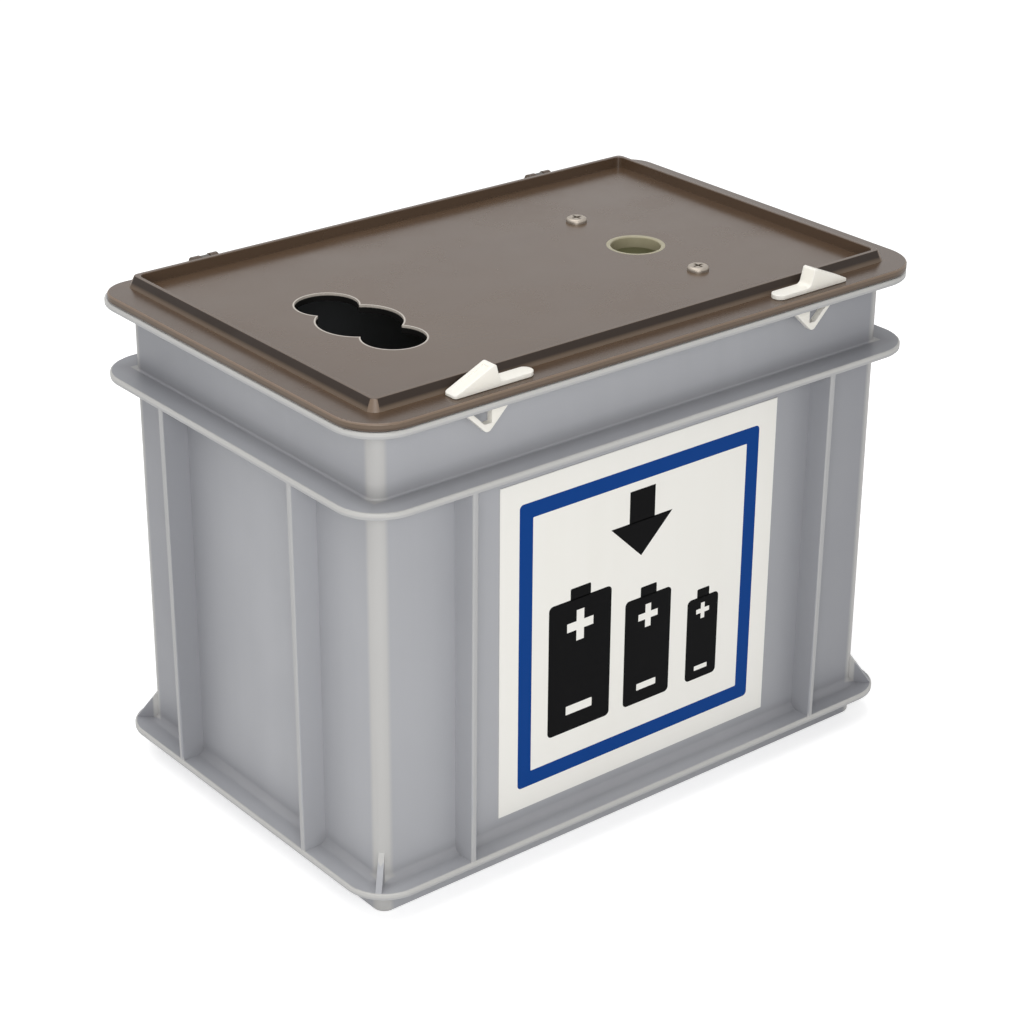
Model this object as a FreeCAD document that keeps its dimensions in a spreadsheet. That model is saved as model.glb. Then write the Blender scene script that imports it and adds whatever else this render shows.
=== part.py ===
import FreeCAD, Part
import math
import os
import Sketcher

# Battery collection container: a stacking container with a hinged lid, two sliding latches,
# a slot for cells and a cup under the lid for button cells.
# Frame: +X to the right along the front, +Y to the back, +Z up. The origin is under the
# middle of the container, on the surface that it stands on. The label is on the front.

# Driving sizes in millimetres: name, value and what it measures.
SIZES = [
    ("length", 300, "rim, left to right"),
    ("width", 200, "rim, front to back"),
    ("height", 220, "standing surface to the top of the rim"),
    ("wall_inset", 13, "rim edge to the outside of the wall"),
    ("wall", 2.5, "thickness of the wall"),
    ("wall_corner", 5.5, "outer corner radius of the wall"),
    ("floor_thickness", 3, "floor of the container"),
    ("floor_round", 2.5, "radius where the floor meets the wall inside"),
    ("foot_round", 1.5, "radius along the foot"),
    ("rim_thickness", 3, "rim"),
    ("rim_corner", 20.5, "corner radius of the rim"),
    ("ring_top", 186.7, "standing surface to the top of the ring"),
    ("ring_thickness", 3.1, "ring below the rim"),
    ("ring_inset", 0.4, "rim edge to the ring's edge"),
    ("flange_bottom", 12.7, "standing surface to the underside of the flange"),
    ("flange_thickness", 3, "flange round the foot"),
    ("flange_inset", 1.6, "rim edge to the flange's edge"),
    ("flange_root", 3.5, "radius where the wall rises from the flange"),
    ("edge_round", 0.8, "radius on the edges of rim, ring and flange"),
    ("root_round", 1, "radius where rim and ring meet the wall"),
    ("rib_thickness", 2.7, "ribs between flange and ring"),
    ("rib_step", 0.3, "ring's edge to the rib's tip"),
    ("rib_tip_round", 0.8, "radius on the rib's tip"),
    ("front_rib_inset", 52.6, "rim edge to the ribs on the long sides"),
    ("side_rib_inset", 53.4, "rim edge to the ribs on the short sides"),
    ("gusset_thickness", 2.5, "fin on each corner of the flange"),
    ("gusset_rise", 20.3, "flange to the top of the fin"),
    ("lid_gap", 0.2, "clearance between the rim and the lid"),
    ("lid_thickness", 3.5, "plate of the lid"),
    ("lid_back_inset", 7.4, "rim edge to the lid's back edge"),
    ("lid_back_corner", 14, "radius of the lid's back corners"),
    ("lid_edge_round", 0.9, "radius on the lid's edge"),
    ("bead_inset", 12, "rim edge to the foot of the lid's raised bead"),
    ("bead_lean", 2.3, "how far the bead leans inwards"),
    ("bead_height", 4.7, "height of the bead above the lid"),
    ("bead_thickness", 2, "top of the bead"),
    ("bead_corner", 5, "outer corner radius of the bead"),
    ("bead_round", 0.4, "radius on the bead's top edges"),
    ("skirt_play", 0.8, "clearance between the container's wall and the lid's skirt"),
    ("skirt_thickness", 2, "skirt under the lid"),
    ("skirt_depth", 7, "lid's underside to the end of the skirt"),
    ("hinge_inset", 56.5, "rim edge to the middle of a hinge"),
    ("hinge_rise", 2.4, "top of the rim to the hinge axis"),
    ("pin_radius", 1, "hinge pin"),
    ("pin_play", 0.05, "radial clearance of the pin in the ear"),
    ("knuckle_radius", 3, "knuckles of the lid"),
    ("knuckle_length", 12.5, "pair of knuckles at a hinge, end to end"),
    ("knuckle_play", 0.2, "radial clearance of the pin in the knuckles"),
    ("knuckle_gap", 0.5, "clearance between a knuckle and the container"),
    ("ear_radius", 2.6, "ear that holds the pin"),
    ("ear_length", 4, "ear between two knuckles"),
    ("ear_gap", 0.4, "clearance between the lid's back edge and the ear"),
    ("pin_recess", 0.5, "each end of the pin inside its knuckle"),
    ("latch_inset", 64.8, "rim edge to the middle of a latch"),
    ("latch_line", 7.4, "rim edge to the middle line of the latches"),
    ("latch_length", 40, "plate of the latch"),
    ("latch_width", 7, "plate of the latch"),
    ("latch_thickness", 2, "plate of the latch"),
    ("latch_play", 0.15, "clearance between the latch and the lid"),
    ("latch_travel", 3.5, "slide of the latch from locked to free"),
    ("latch_end_gap", 0.3, "clearance at the ends of the latch's travel"),
    ("wedge_rise", 9.4, "underside of the latch to the top of its thumb wedge"),
    ("wedge_tail", 1.2, "height of the wedge at its outer end"),
    ("wedge_crest", 1.2, "flat along the top of the wedge"),
    ("wedge_lean", 2, "how far the wedge's inner face leans, crest to plate"),
    ("wedge_round", 0.8, "radius on the wedge's top edges"),
    ("wedge_root", 2.5, "radius where the wedge meets the plate"),
    ("thumb_width", 3, "groove along the wedge"),
    ("thumb_depth", 0.5, "groove along the wedge"),
    ("inner_end_round", 3.3, "corner radius of the latch's inner end"),
    ("outer_end_round", 1.4, "corner radius of the latch's outer end"),
    ("stem_thickness", 3.2, "stem and arrow, front to back"),
    ("stem_inner", 4.5, "latch middle to the stem's inner side"),
    ("stem_outer", 0.5, "latch middle to the stem's outer side"),
    ("stem_gap", 0.2, "clearance of the stem in the lid, front and back"),
    ("arrow_offset", 2.5, "latch middle to the arrow's middle, outwards"),
    ("arrow_half", 12.5, "half the width of the arrow"),
    ("arrow_depth", 12.3, "shoulder to the sharp tip of the arrow"),
    ("arrow_gap", 0.3, "clearance between the rim and the arrow's shoulder"),
    ("arrow_hold", 3, "how far the arrow reaches under the rim when locked"),
    ("arrow_sweep", 1.1, "room in the rim in front of the arrow, for the lid's swing"),
    ("arrow_slack", 0.4, "room in the rim behind the arrow"),
    ("arrow_web", 4.4, "sharp tip of the arrow to the floor of its slit"),
    ("arrow_tip_round", 2.2, "radius on the arrow's tip"),
    ("arm_thickness", 2, "springy arm of the arrow"),
    ("slot_inset", 65.5, "rim edge to the middle of the battery slot"),
    ("opening_line", 6.2, "middle line of the slot and the inlet, ahead of the middle"),
    ("slot_middle_radius", 18, "middle circle of the battery slot"),
    ("slot_end_radius", 13.4, "end circles of the battery slot"),
    ("slot_pitch", 23.3, "middle circle to an end circle"),
    ("inlet_inset", 85, "rim edge to the middle of the inlet"),
    ("inlet_radius", 11, "bore of the inlet ring"),
    ("inlet_wall", 2, "inlet ring around its bore"),
    ("inlet_fit", 0.05, "radial clearance of the inlet ring in the lid"),
    ("inlet_flange", 3, "flange of the inlet ring under the lid"),
    ("inlet_flange_thickness", 1.5, "flange of the inlet ring under the lid"),
    ("inlet_round", 0.7, "radius on the mouth of the inlet ring"),
    ("cup_radius", 27, "inside of the cup"),
    ("cup_wall", 1.5, "wall of the cup"),
    ("cup_depth", 60, "lid's underside to the bottom of the cup"),
    ("cup_round", 4, "radius round the bottom of the cup"),
    ("cup_flange", 3, "flange round the mouth of the cup"),
    ("cup_flange_thickness", 2.5, "flange and ears of the cup"),
    ("screw_pitch", 80.5, "screw to screw"),
    ("cup_ear_radius", 8, "ears of the cup"),
    ("screw_radius", 2.5, "thread of the screws"),
    ("screw_hole_play", 0.25, "radial clearance of the screws in lid, cup and washers"),
    ("screw_length", 12, "under the head to the screw's end"),
    ("screw_chamfer", 0.5, "end of the screw"),
    ("head_radius", 4.75, "head of the screw"),
    ("head_height", 2, "head of the screw"),
    ("head_round", 1.4, "radius over the head"),
    ("recess_length", 5, "cross recess, tip to tip"),
    ("recess_width", 1.1, "cross recess"),
    ("recess_depth", 1.2, "cross recess"),
    ("washer_radius", 5, "washer under each nut"),
    ("washer_thickness", 1, "washer under each nut"),
    ("nut_width", 8, "nut across its flats"),
    ("nut_height", 4, "nut"),
    ("nut_fit", 0.03, "radial clearance between screw and nut"),
    ("label_width", 152, "label on the front"),
    ("label_height", 152, "label on the front"),
    ("label_bottom", 23, "standing surface to the label's lower edge"),
    ("label_thickness", 0.3, "label"),
    ("cut_margin", 1, "how far a cut starts outside what it cuts"),
]

doc = FreeCAD.newDocument("battery_collection_container")
sheet = doc.addObject("Spreadsheet::Sheet", "Sizes")
for row, (alias, value, note) in enumerate(SIZES, start=1):
    sheet.set(f"A{row}", alias)
    sheet.set(f"B{row}", str(value))
    sheet.set(f"C{row}", note)
    sheet.setAlias(f"B{row}", alias)
doc.recompute()

# Places that several pieces share, worked out from the driving sizes.
RIM_X = "Sizes.length / 2"
RIM_Y = "Sizes.width / 2"
WALL_X = f"({RIM_X} - Sizes.wall_inset)"
WALL_Y = f"({RIM_Y} - Sizes.wall_inset)"
CAVITY_X = f"({WALL_X} - Sizes.wall)"
CAVITY_Y = f"({WALL_Y} - Sizes.wall)"
CAVITY_CORNER = "(Sizes.wall_corner - Sizes.wall)"
FRONT_RIB_X = f"({RIM_X} - Sizes.front_rib_inset)"
SIDE_RIB_Y = f"({RIM_Y} - Sizes.side_rib_inset)"
RING_BOTTOM = "(Sizes.ring_top - Sizes.ring_thickness)"
RIM_BOTTOM = "(Sizes.height - Sizes.rim_thickness)"
FLANGE_TOP = "(Sizes.flange_bottom + Sizes.flange_thickness)"
FLANGE_CORNER = "(Sizes.rim_corner - Sizes.flange_inset)"
RING_CORNER = "(Sizes.rim_corner - Sizes.ring_inset)"
LID_BOTTOM = "(Sizes.height + Sizes.lid_gap)"
LID_TOP = f"({LID_BOTTOM} + Sizes.lid_thickness)"
LID_BACK = f"({RIM_Y} - Sizes.lid_back_inset)"
HINGE_X = f"({RIM_X} - Sizes.hinge_inset)"
HINGE_Y = f"({LID_BACK} + Sizes.ear_gap + Sizes.ear_radius)"
HINGE_Z = "(Sizes.height + Sizes.hinge_rise)"
LATCH_X = f"({RIM_X} - Sizes.latch_inset)"
LATCH_Y = f"(Sizes.latch_line - {RIM_Y})"
LATCH_BOTTOM = f"({LID_TOP} + Sizes.latch_play)"
SHOULDER_Z = f"({RIM_BOTTOM} - Sizes.arrow_gap)"
SLOT_X = f"({RIM_X} - Sizes.slot_inset)"
INLET_X = f"({RIM_X} - Sizes.inlet_inset)"
OPENING_Y = "(-Sizes.opening_line)"
SCREW_FRONT_Y = f"({OPENING_Y} - Sizes.screw_pitch / 2)"
SCREW_HOLE = "(Sizes.screw_radius + Sizes.screw_hole_play)"
CUP_SEAT = f"({LID_BOTTOM} - Sizes.cup_flange_thickness)"
WASHER_SEAT = f"({CUP_SEAT} - Sizes.washer_thickness)"


def number(expression):
    """Value of an expression of the sheet, as a plain number."""
    value = sheet.evalExpression(expression)
    return float(getattr(value, "Value", value))


def new_body(name):
    """One sub-part: its label is also the name of its file."""
    body = doc.addObject("PartDesign::Body", name)
    body.Label = name
    body.Placement = FreeCAD.Placement()
    return body


def origin_feature(body, role):
    """Plane or axis of the body's own origin."""
    for feature in body.Origin.OriginFeatures:
        if feature.Role == role:
            return feature
    raise ValueError(role)


def new_sketch(body, name, role, shift=("0", "0", "0"), turn=0):
    """Sketch on an origin plane, shifted along the plane's own axes and turned about its second."""
    sketch = body.newObject("Sketcher::SketchObject", name)
    sketch.AttachmentSupport = [(origin_feature(body, role), "")]
    sketch.MapMode = "FlatFace"
    upright = FreeCAD.Vector(0, 1, 0)
    sketch.AttachmentOffset = FreeCAD.Placement(FreeCAD.Vector(), FreeCAD.Rotation(upright, turn))
    for axis, expression in zip("xyz", shift):
        sketch.setExpression(f"AttachmentOffset.Base.{axis}", expression)
    return sketch


def bind(sketch, constraint, name, expression):
    """Adds a constraint whose value follows an expression of the sheet."""
    index = sketch.addConstraint(constraint)
    sketch.renameConstraint(index, name)
    sketch.setExpression(f"Constraints.{name}", expression)


def place_point(sketch, name, geometry, end, x, y):
    """Ties a point of the sketch to its distances from the sketch's origin."""
    across = Sketcher.Constraint("DistanceX", -1, 1, geometry, end, number(x))
    bind(sketch, across, f"{name}_x", x)
    along = Sketcher.Constraint("DistanceY", -1, 1, geometry, end, number(y))
    bind(sketch, along, f"{name}_y", y)


def polygon(sketch, points):
    """Closed outline of straight lines through points given as pairs of expressions."""
    corners = [FreeCAD.Vector(number(x), number(y), 0) for x, y in points]
    count = len(corners)
    first = sketch.GeometryCount
    for index in range(count):
        line = Part.LineSegment(corners[index], corners[(index + 1) % count])
        sketch.addGeometry(line, False)
    for index in range(count):
        sketch.addConstraint(Sketcher.Constraint("Coincident", first + index, 2, first + (index + 1) % count, 1))
    for index, (x, y) in enumerate(points, start=first):
        place_point(sketch, f"corner{index}", index, 1, x, y)


def circle(sketch, x, y, radius):
    """Circle with its centre and radius tied to expressions."""
    centre = FreeCAD.Vector(number(x), number(y), 0)
    normal = FreeCAD.Vector(0, 0, 1)
    index = sketch.addGeometry(Part.Circle(centre, normal, number(radius)), False)
    place_point(sketch, f"centre{index}", index, 3, x, y)
    round_size = Sketcher.Constraint("Radius", index, number(radius))
    bind(sketch, round_size, f"radius{index}", radius)


def rounded_rectangle(sketch, left, right, front, back, front_corner, back_corner=None):
    """Rectangle with round corners between four sides; the two back corners may differ."""
    back_corner = back_corner or front_corner
    low_x, high_x = number(left), number(right)
    low_y, high_y = number(front), number(back)
    near, far = number(front_corner), number(back_corner)
    normal = FreeCAD.Vector(0, 0, 1)
    # Corners counter-clockwise from the front left: centre, radius and start angle.
    corners = [
        (low_x + near, low_y + near, near, math.pi),
        (high_x - near, low_y + near, near, 1.5 * math.pi),
        (high_x - far, high_y - far, far, 0),
        (low_x + far, high_y - far, far, 0.5 * math.pi),
    ]
    first = sketch.GeometryCount
    arcs = []
    for x, y, radius, start in corners:
        base = Part.Circle(FreeCAD.Vector(x, y, 0), normal, radius)
        arc = Part.ArcOfCircle(base, start, start + 0.5 * math.pi)
        arcs.append(sketch.addGeometry(arc, False))
    lines = []
    for index, arc in enumerate(arcs):
        following = arcs[(index + 1) % len(arcs)]
        start = sketch.getPoint(arc, 2)
        end = sketch.getPoint(following, 1)
        lines.append(sketch.addGeometry(Part.LineSegment(start, end), False))
    for index, line in enumerate(lines):
        following = arcs[(index + 1) % len(arcs)]
        sketch.addConstraint(Sketcher.Constraint("Tangent", arcs[index], 2, line, 1))
        sketch.addConstraint(Sketcher.Constraint("Tangent", line, 2, following, 1))
    for index, direction in enumerate(["Horizontal", "Vertical", "Horizontal", "Vertical"]):
        sketch.addConstraint(Sketcher.Constraint(direction, lines[index]))
    for index, radius in zip(arcs, [front_corner, front_corner, back_corner, back_corner]):
        round_size = Sketcher.Constraint("Radius", index, number(radius))
        bind(sketch, round_size, f"radius{index}", radius)
    sides = [("DistanceY", 0, front), ("DistanceX", 1, right), ("DistanceY", 2, back), ("DistanceX", 3, left)]
    for kind, index, expression in sides:
        side = Sketcher.Constraint(kind, -1, 1, lines[index], 1, number(expression))
        bind(sketch, side, f"side{first}_{index}", expression)


def centred_rectangle(sketch, half_x, half_y, corner):
    """Rectangle with round corners around the sketch's origin."""
    rounded_rectangle(sketch, f"-{half_x}", half_x, f"-{half_y}", half_y, corner)


def recompute(body, feature):
    """Makes the feature the last of its body, works it out and makes sure that it has."""
    body.Tip = feature
    doc.recompute()
    if feature.Shape.isNull() or "Invalid" in feature.State:
        raise RuntimeError(f"{feature.Label} failed: {feature.getStatusString()}")
    return feature


def pad(body, sketch, name, length, symmetric=False, taper=None):
    """Adds the sketch's outline, raised along the sketch's normal."""
    feature = body.newObject("PartDesign::Pad", name)
    feature.Profile = sketch
    feature.SideType = "Symmetric" if symmetric else "One side"
    feature.setExpression("Length", length)
    if taper:
        feature.setExpression("TaperAngle", taper)
    return recompute(body, feature)


def pocket(body, sketch, name, length, symmetric=False):
    """Cuts the sketch's outline away, against the sketch's normal, and makes sure that it cuts."""
    before = body.Tip.Shape.Volume
    feature = body.newObject("PartDesign::Pocket", name)
    feature.Profile = sketch
    feature.SideType = "Symmetric" if symmetric else "One side"
    feature.setExpression("Length", length)
    recompute(body, feature)
    if feature.Shape.Volume >= before:
        raise RuntimeError(f"{name} cuts nothing")
    return feature


def mirror(body, originals, role, name):
    """Repeats features on the other side of an origin plane."""
    feature = body.newObject("PartDesign::Mirrored", name)
    feature.Originals = originals
    feature.MirrorPlane = (origin_feature(body, role), [""])
    return recompute(body, feature)


def row_of_two(body, originals, role, name, pitch):
    """Repeats features once, at a distance along an origin axis."""
    feature = body.newObject("PartDesign::LinearPattern", name)
    feature.Originals = originals
    feature.Direction = (origin_feature(body, role), [""])
    feature.Occurrences = 2
    feature.setExpression("Length", pitch)
    return recompute(body, feature)


def extent(edge):
    """Box around the edge's own points, without the margin that a fillet leaves on its box."""
    box = FreeCAD.BoundBox()
    for point in edge.discretize(9):
        box.add(point)
    return box


def matching_edges(body, test):
    """Names of the edges of the body whose extent passes a test."""
    edges = body.Tip.Shape.Edges
    return [f"Edge{index}" for index, edge in enumerate(edges, start=1) if test(extent(edge))]


def fillet(body, name, radius, test):
    """Rounds the edges that pass the test."""
    names = matching_edges(body, test)
    if not names:
        raise RuntimeError(f"{name} finds no edge")
    rounded = body.Tip
    feature = body.newObject("PartDesign::Fillet", name)
    feature.Base = (rounded, names)
    feature.setExpression("Radius", radius)
    return recompute(body, feature)


def level(box, z):
    """True for an edge that lies flat at height z."""
    return abs(box.ZMin - z) < 0.01 and abs(box.ZMax - z) < 0.01


def reaches(box, half_x, half_y):
    """True for an edge of a centred outline: on one of its sides, or round one of its corners."""
    outermost_x = max(abs(box.XMin), abs(box.XMax))
    outermost_y = max(abs(box.YMin), abs(box.YMax))
    on_side = abs(outermost_x - half_x) < 0.01
    on_end = abs(outermost_y - half_y) < 0.01
    return on_side or on_end


def plate_outline(body, name, half_x, half_y, corner, height):
    """Sketch of a centred rectangle with round corners at a height."""
    sketch = new_sketch(body, f"{name}_outline", "XY_Plane", ("0", "0", height))
    centred_rectangle(sketch, half_x, half_y, corner)
    return sketch


def container_body():
    """Container: tapered-rib walls between flange and ring, a rim, and the lugs of the hinges."""
    body = new_body("container_body")
    shell = plate_outline(body, "shell", WALL_X, WALL_Y, "Sizes.wall_corner", "0")
    pad(body, shell, "shell", "Sizes.height")
    flange_x = f"({RIM_X} - Sizes.flange_inset)"
    flange_y = f"({RIM_Y} - Sizes.flange_inset)"
    ring_x = f"({RIM_X} - Sizes.ring_inset)"
    ring_y = f"({RIM_Y} - Sizes.ring_inset)"
    flange = plate_outline(body, "flange", flange_x, flange_y, FLANGE_CORNER, "Sizes.flange_bottom")
    pad(body, flange, "flange", "Sizes.flange_thickness")
    ring = plate_outline(body, "ring", ring_x, ring_y, RING_CORNER, RING_BOTTOM)
    pad(body, ring, "ring", "Sizes.ring_thickness")
    rim = plate_outline(body, "rim", f"({RIM_X})", f"({RIM_Y})", "Sizes.rim_corner", RIM_BOTTOM)
    pad(body, rim, "rim", "Sizes.rim_thickness")
    round_container(body, flange_x, flange_y, ring_x, ring_y)
    add_ribs(body, flange_x, flange_y, ring_x, ring_y)
    add_gussets(body)
    cavity = plate_outline(body, "cavity", CAVITY_X, CAVITY_Y, CAVITY_CORNER, "Sizes.height")
    pocket(body, cavity, "cavity", "Sizes.height - Sizes.floor_thickness")
    floor_z = number("Sizes.floor_thickness")
    fillet(body, "floor_edge", "Sizes.floor_round", lambda box: level(box, floor_z))
    add_hinge_lugs(body)
    cut_rim_slots(body)
    return body


def round_container(body, flange_x, flange_y, ring_x, ring_y):
    """Rounds the plates' edges and the roots where they meet the wall."""
    outlines = {
        "rim_edge": (RIM_X, RIM_Y, [RIM_BOTTOM, "Sizes.height"]),
        "ring_edge": (ring_x, ring_y, [RING_BOTTOM, "Sizes.ring_top"]),
        "flange_edge": (flange_x, flange_y, ["Sizes.flange_bottom", FLANGE_TOP]),
    }
    for name, (half_x, half_y, heights) in outlines.items():
        reach = (number(half_x), number(half_y))
        levels = [number(height) for height in heights]
        fillet(body, name, "Sizes.edge_round",
               lambda box: reaches(box, *reach) and any(level(box, z) for z in levels))
    wall = (number(WALL_X), number(WALL_Y))
    roots = [number(RIM_BOTTOM), number("Sizes.ring_top"), number(RING_BOTTOM)]
    fillet(body, "plate_roots", "Sizes.root_round",
           lambda box: reaches(box, *wall) and any(level(box, z) for z in roots))
    rise = number(FLANGE_TOP)
    fillet(body, "flange_root", "Sizes.flange_root", lambda box: reaches(box, *wall) and level(box, rise))
    fillet(body, "foot_edge", "Sizes.foot_round", lambda box: reaches(box, *wall) and level(box, 0))


def add_ribs(body, flange_x, flange_y, ring_x, ring_y):
    """Upright ribs on all four sides; each loft runs right across and the cavity parts it."""
    sections = [
        ("low", f"({FLANGE_TOP} - Sizes.flange_thickness / 2)", flange_x, flange_y),
        ("high", f"({RING_BOTTOM} + Sizes.ring_thickness / 2)", ring_x, ring_y),
    ]
    half = "(Sizes.rib_thickness / 2)"
    for side, place in (("front", FRONT_RIB_X), ("side", SIDE_RIB_Y)):
        sketches = []
        for end, height, reach_x, reach_y in sections:
            sketch = new_sketch(body, f"{side}_rib_{end}", "XY_Plane", ("0", "0", height))
            if side == "front":
                tip = f"({reach_y} - Sizes.rib_step)"
                rounded_rectangle(sketch, f"{place} - {half}", f"{place} + {half}", f"-{tip}", tip,
                                  "Sizes.rib_tip_round")
            else:
                tip = f"({reach_x} - Sizes.rib_step)"
                rounded_rectangle(sketch, f"-{tip}", tip, f"{place} - {half}", f"{place} + {half}",
                                  "Sizes.rib_tip_round")
            sketches.append(sketch)
        loft = body.newObject("PartDesign::AdditiveLoft", f"{side}_ribs")
        loft.Profile = sketches[0]
        loft.Sections = sketches[1:]
        loft.Ruled = True
        recompute(body, loft)
        mirror_plane = "YZ_Plane" if side == "front" else "XZ_Plane"
        mirror(body, [loft], mirror_plane, f"{side}_ribs_opposite")


def add_gussets(body):
    """Thin fins that brace the flange's corners against the wall's corners."""
    bottom = f"({FLANGE_TOP} - Sizes.flange_thickness / 2)"
    tip = f"({FLANGE_CORNER} - Sizes.edge_round)"
    root = "(Sizes.wall_corner - Sizes.wall)"
    top = f"({FLANGE_TOP} + Sizes.gusset_rise)"
    corner_x = f"({RIM_X} - Sizes.rim_corner)"
    corner_y = f"({RIM_Y} - Sizes.rim_corner)"
    corners = [
        ("back_right", corner_x, f"-{corner_y}", 45),
        ("back_left", f"-{corner_x}", f"-{corner_y}", 135),
        ("front_left", f"-{corner_x}", corner_y, 225),
        ("front_right", corner_x, corner_y, 315),
    ]
    for name, across, towards_front, turn in corners:
        sketch = new_sketch(body, f"gusset_{name}_outline", "XZ_Plane", (across, "0", towards_front), turn)
        polygon(sketch, [(root, bottom), (tip, bottom), (tip, FLANGE_TOP), (root, top)])
        pad(body, sketch, f"gusset_{name}", "Sizes.gusset_thickness", symmetric=True)


def add_hinge_lugs(body):
    """Ear at each hinge, between the notches for the lid's knuckles and bored for the pin."""
    start = f"{HINGE_X} - Sizes.ear_length / 2"
    lug = new_sketch(body, "hinge_lug_outline", "YZ_Plane", ("0", "0", start))
    sink = "(Sizes.height - Sizes.rim_thickness / 2)"
    front = f"({HINGE_Y} - Sizes.ear_radius)"
    back = f"({HINGE_Y} + Sizes.ear_radius)"
    polygon(lug, [(front, sink), (back, sink), (back, HINGE_Z), (front, HINGE_Z)])
    block = pad(body, lug, "hinge_lug", "Sizes.ear_length")
    crown = new_sketch(body, "hinge_crown_outline", "YZ_Plane", ("0", "0", start))
    circle(crown, HINGE_Y, HINGE_Z, "Sizes.ear_radius")
    top = pad(body, crown, "hinge_crown", "Sizes.ear_length")
    notch_top = f"({HINGE_Z} + Sizes.ear_radius + Sizes.cut_margin)"
    notch = new_sketch(body, "hinge_notch_outline", "XY_Plane", ("0", "0", notch_top))
    near = "Sizes.ear_length / 2"
    far = "(Sizes.knuckle_length / 2 + Sizes.knuckle_gap)"
    inner = f"({HINGE_Y} - Sizes.knuckle_radius - Sizes.knuckle_gap)"
    outer = f"({RIM_Y} + Sizes.cut_margin)"
    left_notch = (f"({HINGE_X} - {far})", f"({HINGE_X} - {near})")
    right_notch = (f"({HINGE_X} + {near})", f"({HINGE_X} + {far})")
    for left, right in (left_notch, right_notch):
        polygon(notch, [(left, inner), (right, inner), (right, outer), (left, outer)])
    gap = pocket(body, notch, "hinge_notch", f"{notch_top} - {RIM_BOTTOM} + Sizes.cut_margin")
    bore_outline = new_sketch(body, "hinge_bore_outline", "YZ_Plane", ("0", "0", HINGE_X))
    circle(bore_outline, HINGE_Y, HINGE_Z, "Sizes.pin_radius + Sizes.pin_play")
    bore = pocket(body, bore_outline, "hinge_bore", "Sizes.ear_length + 2 * Sizes.cut_margin", symmetric=True)
    mirror(body, [block, top, gap, bore], "YZ_Plane", "hinge_opposite")


def cut_rim_slots(body):
    """Slots that let the latches' arrows through the rim once they are slid outwards."""
    sketch = new_sketch(body, "rim_slot_outline", "XY_Plane", ("0", "0", "Sizes.height"))
    inner = f"({LATCH_X} + Sizes.arrow_offset - Sizes.arrow_half + Sizes.arrow_hold)"
    outer = f"({LATCH_X} + Sizes.arrow_offset + Sizes.arrow_half + Sizes.latch_travel + Sizes.latch_end_gap)"
    front = f"({LATCH_Y} - Sizes.stem_thickness / 2 - Sizes.arrow_sweep)"
    back = f"({LATCH_Y} + Sizes.stem_thickness / 2 + Sizes.arrow_slack)"
    polygon(sketch, [(inner, front), (outer, front), (outer, back), (inner, back)])
    slot = pocket(body, sketch, "rim_slot", "Sizes.rim_thickness + Sizes.cut_margin")
    mirror(body, [slot], "YZ_Plane", "rim_slot_opposite")


def hinge_pin(name, side):
    """Steel pin through an ear and the knuckles on both sides of it."""
    body = new_body(name)
    start = f"({side} * {HINGE_X} - Sizes.knuckle_length / 2 + Sizes.pin_recess)"
    sketch = new_sketch(body, f"{name}_outline", "YZ_Plane", ("0", "0", start))
    circle(sketch, HINGE_Y, HINGE_Z, "Sizes.pin_radius")
    pad(body, sketch, f"{name}_rod", "Sizes.knuckle_length - 2 * Sizes.pin_recess")
    return body


def lid():
    """Lid: plate, raised bead, skirt inside the container's mouth, knuckles and openings."""
    body = new_body("lid")
    plate = new_sketch(body, "plate_outline", "XY_Plane", ("0", "0", LID_BOTTOM))
    rounded_rectangle(plate, f"-{RIM_X}", RIM_X, f"-{RIM_Y}", LID_BACK, "Sizes.rim_corner",
                      "Sizes.lid_back_corner")
    pad(body, plate, "plate", "Sizes.lid_thickness")
    heights = [number(LID_BOTTOM), number(LID_TOP)]
    fillet(body, "plate_edge", "Sizes.lid_edge_round", lambda box: any(level(box, z) for z in heights))
    add_bead(body)
    skirt_x = f"({CAVITY_X} - Sizes.skirt_play)"
    skirt_y = f"({CAVITY_Y} - Sizes.skirt_play)"
    skirt = plate_outline(body, "skirt", skirt_x, skirt_y, CAVITY_CORNER, f"{LID_BOTTOM} - Sizes.skirt_depth")
    centred_rectangle(skirt, f"({skirt_x} - Sizes.skirt_thickness)", f"({skirt_y} - Sizes.skirt_thickness)",
                      f"({CAVITY_CORNER} - Sizes.skirt_thickness)")
    pad(body, skirt, "skirt", "Sizes.skirt_depth")
    add_knuckles(body)
    cut_lid_openings(body)
    return body


def add_bead(body):
    """Raised bead round the lid, leaning inwards on its outer side."""
    outer_x = f"({RIM_X} - Sizes.bead_inset)"
    outer_y = f"({RIM_Y} - Sizes.bead_inset)"
    bead = plate_outline(body, "bead", outer_x, outer_y, "Sizes.bead_corner", LID_TOP)
    pad(body, bead, "bead", "Sizes.bead_height", taper="-atan(Sizes.bead_lean / Sizes.bead_height)")
    wall = "(Sizes.bead_lean + Sizes.bead_thickness)"
    well = plate_outline(body, "well", f"({outer_x} - {wall})", f"({outer_y} - {wall})",
                         "(Sizes.bead_corner - Sizes.bead_thickness)", f"{LID_TOP} + Sizes.bead_height")
    pocket(body, well, "well", "Sizes.bead_height")
    crest = number(f"{LID_TOP} + Sizes.bead_height")
    fillet(body, "bead_crest", "Sizes.bead_round", lambda box: level(box, crest))


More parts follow.
